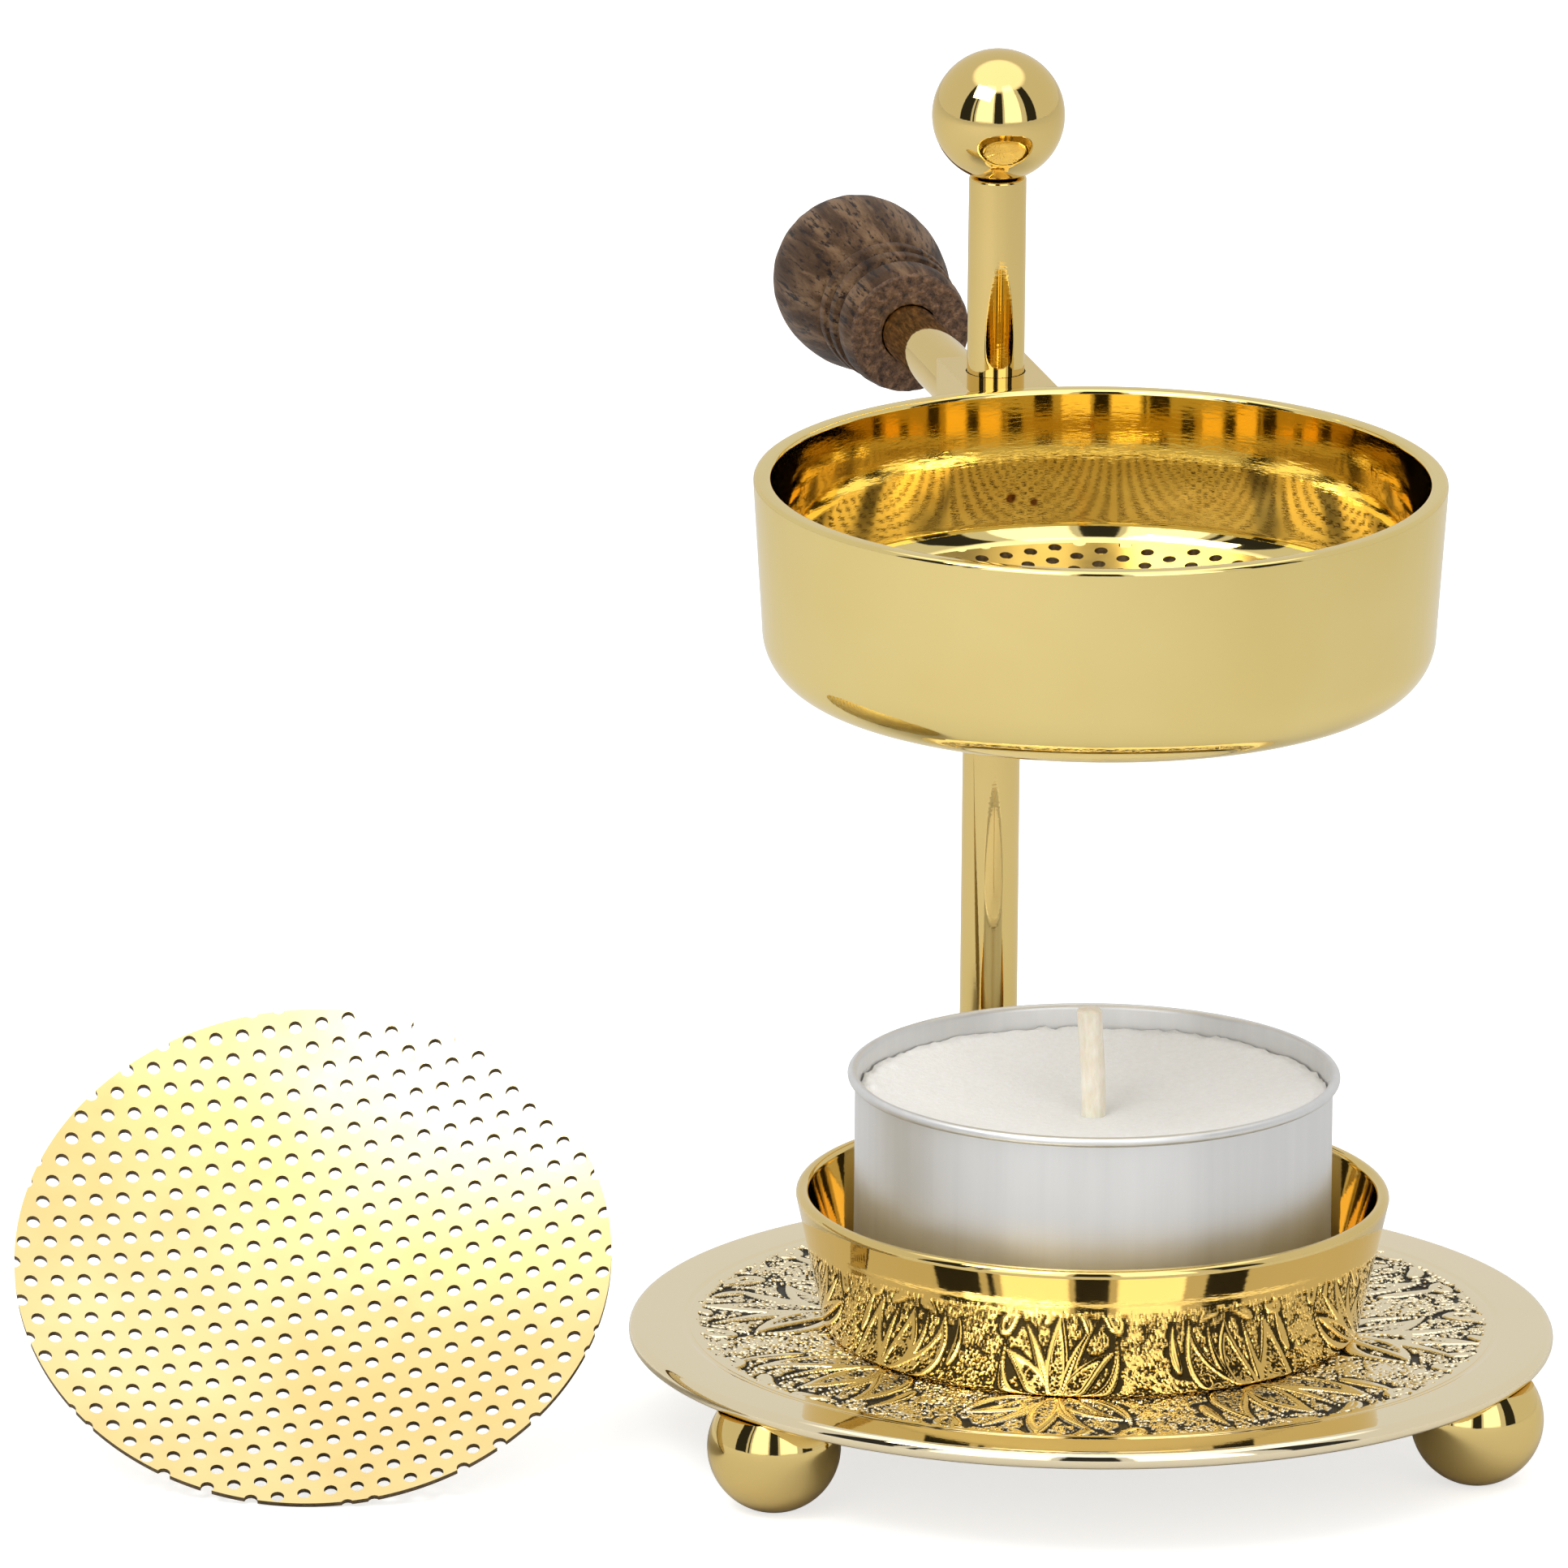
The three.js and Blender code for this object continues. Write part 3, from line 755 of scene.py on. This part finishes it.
# ---------- sieves ----------
def hole_centres(turn):
    """Centres of a hexagonal grid of holes, turned about the disc's centre."""
    centres = []
    rows = int(SIEVE_R / (HOLE_PITCH * math.sqrt(3) / 2)) + 2
    for j in range(-rows, rows + 1):
        for i in range(-rows, rows + 1):
            x = (i + 0.5 * (j % 2)) * HOLE_PITCH
            y = j * HOLE_PITCH * math.sqrt(3) / 2
            x, y = (x * math.cos(turn) - y * math.sin(turn), x * math.sin(turn) + y * math.cos(turn))
            if math.hypot(x, y) < SIEVE_R + HOLE_R * 0.8:
                centres.append((x, y))
    return centres


def punched_sheet(centres):
    """Flat points of the disc, and the faces between its holes."""
    points = [Vector((SIEVE_R * math.cos(a), SIEVE_R * math.sin(a)))
              for a in np.linspace(0, 2 * math.pi, SIEVE_EDGE_POINTS, endpoint=False)]
    edges = [(i, (i + 1) % SIEVE_EDGE_POINTS) for i in range(SIEVE_EDGE_POINTS)]
    for x, y in centres:
        start = len(points)
        for k in range(HOLE_SIDES):
            a = 2 * math.pi * (k + 0.5) / HOLE_SIDES
            points.append(Vector((x + HOLE_R * math.cos(a), y + HOLE_R * math.sin(a))))
            edges.append((start + k, start + (k + 1) % HOLE_SIDES))
    result = geometry.delaunay_2d_cdt(points, edges, [], 0, 1e-5)
    xy = np.array([(p.x, p.y) for p in result[0]])
    holes = np.array(centres)
    kept = []
    for face in result[2]:
        c = xy[list(face)].mean(axis=0)
        in_hole = np.hypot(*(holes - c).T).min() < HOLE_R * 0.96
        if not in_hole and math.hypot(*c) < SIEVE_R * 0.9999:
            kept.append(tuple(face))
    return xy, kept


def open_edges(faces):
    """Edges that only one face uses, in that face's direction."""
    border = {}
    for face in faces:
        for a, b in zip(face, face[1:] + face[:1]):
            if (b, a) in border:
                del border[(b, a)]
            else:
                border[(a, b)] = True
    return list(border)


def sieve_mesh(name, material, turn):
    """A thin dished disc with round holes, some cut by its edge, and walls in the holes painted dark for
    tarnish and for the shade inside them.
    """
    xy, kept = punched_sheet(hole_centres(turn))
    height = SIEVE_SAG * (np.hypot(xy[:, 0], xy[:, 1]) ** 2 / SIEVE_R ** 2 - 1)
    count = len(xy)
    verts = [(x, y, z + SIEVE_T) for (x, y), z in zip(xy, height)]
    verts += [(x, y, z) for (x, y), z in zip(xy, height)]
    all_faces = kept + [tuple(count + i for i in reversed(face)) for face in kept]
    flat_faces = len(all_faces)
    all_faces += [(b, a, count + a, count + b) for a, b in open_edges(kept)]
    used = sorted({i for face in all_faces for i in face})
    index = {old: new for new, old in enumerate(used)}
    all_faces = [tuple(index[i] for i in face) for face in all_faces]
    disc = make_mesh(name, [verts[i] for i in used], all_faces, material, 40.0)
    # the hole walls and the rim get the edge material: tarnish with painted shade
    disc.data.materials.append(M_EDGE_TARNISH_AND_SHADE)
    for polygon in disc.data.polygons[flat_faces:]:
        polygon.material_index = 1
    return disc


def build_sieves():
    lift = SIEVE_SAG * (1 - (OPENING_R / SIEVE_R) ** 2) + 0.05
    inner = sieve_mesh("pan_sieve_disc", M_SIEVE, math.radians(10))
    inner.data.transform(Matrix.Translation((0, -ARM * MM, (BOWL_RIM_Z - LEDGE_DEPTH + lift) * MM)))
    place(inner, "pan_sieve", "sieve", slot="brass")
    loose = sieve_mesh("loose_sieve_disc", M_SIEVE, math.radians(12))
    turned = Matrix.Rotation(math.radians(SPARE_TURN), 4, "Z")
    leaning = Matrix.Rotation(math.radians(SPARE_LEAN), 4, "X")
    loose.data.transform(turned @ leaning)
    lowest = min(v.co.z for v in loose.data.vertices)
    loose.data.transform(Matrix.Translation((SPARE_X * MM, SPARE_Y * MM, -lowest)))
    place(loose, "loose_sieve", "spare_sieve", slot="brass")


# ---------- tea light ----------
def build_can():
    inner = CAN_R - CAN_WALL
    roll = CAN_R - CAN_WALL + CAN_ROLL_R

    def dent(r, z, a):
        """Slight waves in the thin wall, and a crease low down."""
        if r < 2 or z > CAN_H - 1.2:
            return r, z
        ripple = noise.noise((math.cos(a) * 2.4, math.sin(a) * 2.4, z * 0.12)) * 0.06
        fold = noise.noise((math.cos(a) * 8, math.sin(a) * 8, z * 0.5))
        crease = math.exp(-((z - 2.6) / 1.6) ** 2) * fold * 0.22
        return r - abs(ripple) - abs(crease), z

    profile = [(0, 0)] + arc(CAN_R - CAN_CORNER_R, CAN_CORNER_R, CAN_CORNER_R, -90, 0, 6)
    profile += [(CAN_R, z) for z in np.linspace(1.2, CAN_H - 2.2 * CAN_ROLL_R, 24)]
    profile += arc(roll, CAN_H - CAN_ROLL_R, CAN_ROLL_R, -100, 180, 16)
    profile += [(inner, WAX_TOP - 1.7), (0, WAX_TOP - 1.7)]
    can = lathe("can_shell", profile, M_CAN, 200, centre=(0, -ARM, CAN_Z), shift=dent)
    place(can, "tealight", "tealight_can", slot="aluminium")


def build_wax():
    def crumble(r, z, a):
        """Low waves, and a rough edge where the wax meets the can."""
        x, y = r * math.cos(a), r * math.sin(a)
        edge = max(0.0, (r - 15.5) / 3.0)
        low = noise.noise((x * 0.22, y * 0.22, 0.0)) * 0.12
        chip = noise.noise((x * 0.9, y * 0.9, 5.0)) * 0.34 * edge
        chip += noise.noise((x * 2.6, y * 2.6, 9.0)) * 0.22 * edge
        return r, z + low + chip

    base = WAX_TOP - 1.5
    profile = [(0, WAX_TOP)]
    profile += [(r, WAX_EDGE - WAX_DISH * (1 - (r / WAX_R) ** 2)) for r in np.linspace(0.8, WAX_FLAT_R, 40)]
    profile += [(WAX_FLAT_R + (WAX_R - WAX_FLAT_R) * t, WAX_EDGE - 0.27 - 0.1 * t)
                for t in np.linspace(0.1, 1, 8)]
    profile += [(WAX_R, base), (0, base)]
    profile = profile[::-1]
    wax = lathe("wax_fill", profile, M_WAX, 256, centre=(0, -ARM, CAN_Z), shift=crumble)
    place(wax, "tealight", "tealight_wax", slot="wax")


def build_wick():
    def uneven(r, z, a):
        return r * (1 + 0.07 * noise.noise((math.cos(a) * 2, math.sin(a) * 2, z * 0.8))), z

    heights = np.linspace(WAX_TOP - 1.0, WICK_TOP - 0.25, 24)
    profile = [(0, heights[0])] + [(WICK_R * 0.97, z) for z in heights]
    profile += [(WICK_R * 0.8, WICK_TOP - 0.08), (0, WICK_TOP)]
    wick = lathe("wick_cord", profile, M_WICK, 40, centre=(0, -ARM, CAN_Z), shift=uneven)
    for vertex in wick.data.vertices:
        above = max(0.0, vertex.co.z / MM - CAN_Z - WAX_TOP)
        vertex.co.x -= WICK_LEAN * MM * (above / (WICK_TOP - WAX_TOP)) ** 1.5
    place(wick, "tealight", "wick", slot="cotton")


def finish_hidden_nodes():
    """CAD pieces that stay as they are, with a metal finish."""
    for name, material in (("cup_rivet", M_BRASS), ("finial_stud", M_STEEL), ("wick_tab", M_STEEL)):
        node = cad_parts[name]
        node.data.materials.clear()
        node.data.materials.append(material)


# ---------- floor, light and camera ----------
FLOOR_HALF = 6.0                # metres
FLOOR_GLOW = 0.68               # lifts the floor to white for the camera only


def build_floor():
    shader = Shader("floor_white").set(Roughness=0.9, Specular_IOR_Level=0.2)
    shader.bsdf.inputs["Emission Color"].default_value = (1.0, 1.0, 1.0, 1.0)
    seen = shader.nodes.new("ShaderNodeLightPath").outputs["Is Camera Ray"]
    shader.link(shader.math("MULTIPLY", seen, FLOOR_GLOW), "Emission Strength")
    shade = shader.noise(3.0, 2.0)
    shader.link(shader.ramp(shade, (0.0, (0.58, 0.58, 0.58)), (1.0, (0.60, 0.60, 0.60))), "Base Color")
    mesh = bpy.data.meshes.new("floor")
    corners = [(x * FLOOR_HALF, y * FLOOR_HALF, 0) for x, y in ((-1, -1), (1, -1), (1, 1), (-1, 1))]
    mesh.from_pydata(corners, [], [(0, 1, 2, 3)])
    mesh.materials.append(shader.material)
    floor = bpy.data.objects.new("floor", mesh)
    bpy.context.scene.collection.objects.link(floor)


CAMERA_AZIMUTH = -14.8          # degrees
CAMERA_ELEVATION = 15.9
CAMERA_ROLL = 0.6
CAMERA_DISTANCE = 5.0           # metres
CAMERA_LENS = 1474.0            # mm. Above about 1700 the views from other angles clip the whole object
AIM_LEFT = 0.02435              # metres from the plate's centre to the middle of the picture
AIM_UP = 0.04172

# dark gaps and softboxes of the studio, in degrees:
# azimuth from the camera's side, half width, lowest and highest elevation
DARK_BARS = ((-60, 10, 0, 52), (-44.5, 0.9, 0, 52), (0, 7, 0, 52), (60, 9, 0, 52))
SOFTBOXES = ((-25, 14, 3, 62), (26, 14, 3, 62))
ROOM_LEVEL = 0.74
OVERHEAD_LEVEL = 0.8
SOFTBOX_LEVEL = 1.15
DARK_SHARE = 0.96


def build_world():
    """A plain studio for reflections, and white to the camera."""
    world = bpy.data.worlds.new("studio")
    bpy.context.scene.world = world
    world.use_nodes = True
    nodes, links = world.node_tree.nodes, world.node_tree.links
    background = nodes["Background"]

    def maths(operation, *items):
        return math_node(nodes, links, operation, *items)

    def band(value, centre, half, soft):
        """1 within half of centre, falling to 0 over soft."""
        away = maths("ABSOLUTE", maths("SUBTRACT", value, centre))
        node = nodes.new("ShaderNodeMapRange")
        node.inputs["From Min"].default_value = half
        node.inputs["From Max"].default_value = half + soft
        node.inputs["To Min"].default_value = 1.0
        node.inputs["To Max"].default_value = 0.0
        links.new(away, node.inputs["Value"])
        return node.outputs["Result"]

    split = nodes.new("ShaderNodeSeparateXYZ")
    links.new(nodes.new("ShaderNodeTexCoord").outputs["Generated"], split.inputs[0])
    x, y, z = split.outputs
    turn = math.radians(CAMERA_AZIMUTH)
    side = maths("ADD", maths("MULTIPLY", x, math.cos(turn)), maths("MULTIPLY", y, math.sin(turn)))
    front = maths("SUBTRACT", maths("MULTIPLY", x, math.sin(turn)), maths("MULTIPLY", y, math.cos(turn)))
    azimuth = maths("DEGREES", maths("ARCTAN2", side, front))
    height = maths("DEGREES", maths("ARCSINE", z))
    dark = None
    for bar_azimuth, half, low, high in DARK_BARS:
        bar = maths("MULTIPLY", band(azimuth, bar_azimuth, half, 1.0),
                    band(height, (low + high) / 2, (high - low) / 2, 3.0))
        dark = bar if dark is None else maths("MAXIMUM", dark, bar)
    bright = None
    for box_azimuth, half, low, high in SOFTBOXES:
        box = maths("MULTIPLY", band(azimuth, box_azimuth, half, 1.5),
                    band(height, (low + high) / 2, (high - low) / 2, 4.0))
        bright = box if bright is None else maths("MAXIMUM", bright, box)
    overhead = maths("MULTIPLY", band(height, 90.0, 32.0, 6.0), OVERHEAD_LEVEL)
    level = maths("ADD", ROOM_LEVEL, maths("ADD", overhead, maths("MULTIPLY", bright, SOFTBOX_LEVEL)))
    lit = maths("MULTIPLY", level, maths("SUBTRACT", 1.0, maths("MULTIPLY", dark, DARK_SHARE)))
    seen = nodes.new("ShaderNodeLightPath").outputs["Is Camera Ray"]
    strength = maths("MAXIMUM", lit, seen)
    links.new(strength, background.inputs["Strength"])
    background.inputs["Color"].default_value = (1.0, 1.0, 1.0, 1.0)


def build_lights():
    """One soft area light from the upper left, aimed at the burner."""
    data = bpy.data.lights.new("key", "AREA")
    data.shape = "RECTANGLE"
    data.size = 0.5
    data.size_y = 0.35
    data.energy = 3.2
    light = bpy.data.objects.new("key", data)
    light.location = (-0.45, -0.35, 0.75)
    towards = Vector((0, -0.03, 0.04)) - light.location
    light.rotation_euler = towards.to_track_quat("-Z", "Y").to_euler()
    bpy.context.scene.collection.objects.link(light)


def build_camera():
    """Long lens about 16 degrees above level, seen a little from the left of the handle's plane."""
    azimuth = math.radians(CAMERA_AZIMUTH)
    elevation = math.radians(CAMERA_ELEVATION)
    roll = math.radians(CAMERA_ROLL)
    target = Vector((0, -ARM * MM, PLATE_TOP * MM))
    back = Vector((math.sin(azimuth) * math.cos(elevation), -math.cos(azimuth) * math.cos(elevation),
                   math.sin(elevation)))
    right = Vector((math.cos(azimuth), math.sin(azimuth), 0))
    up = back.cross(right)
    aim = target - right * AIM_LEFT + up * AIM_UP
    data = bpy.data.cameras.new("camera")
    data.sensor_width = 36.0
    data.lens = CAMERA_LENS
    data.clip_end = 100.0
    camera = bpy.data.objects.new("camera", data)
    rotation = Matrix((right, up, back)).transposed() @ Matrix.Rotation(roll, 3, "Z")
    camera.rotation_euler = rotation.to_euler()
    camera.location = aim + back * CAMERA_DISTANCE
    bpy.context.scene.collection.objects.link(camera)
    bpy.context.scene.camera = camera


build_base()
build_column()
build_pan()
build_rod()
build_handle()
build_sieves()
build_can()
build_wax()
build_wick()
finish_hidden_nodes()
build_floor()
build_world()
build_lights()
build_camera()
bpy.context.scene.view_settings.view_transform = "Standard"
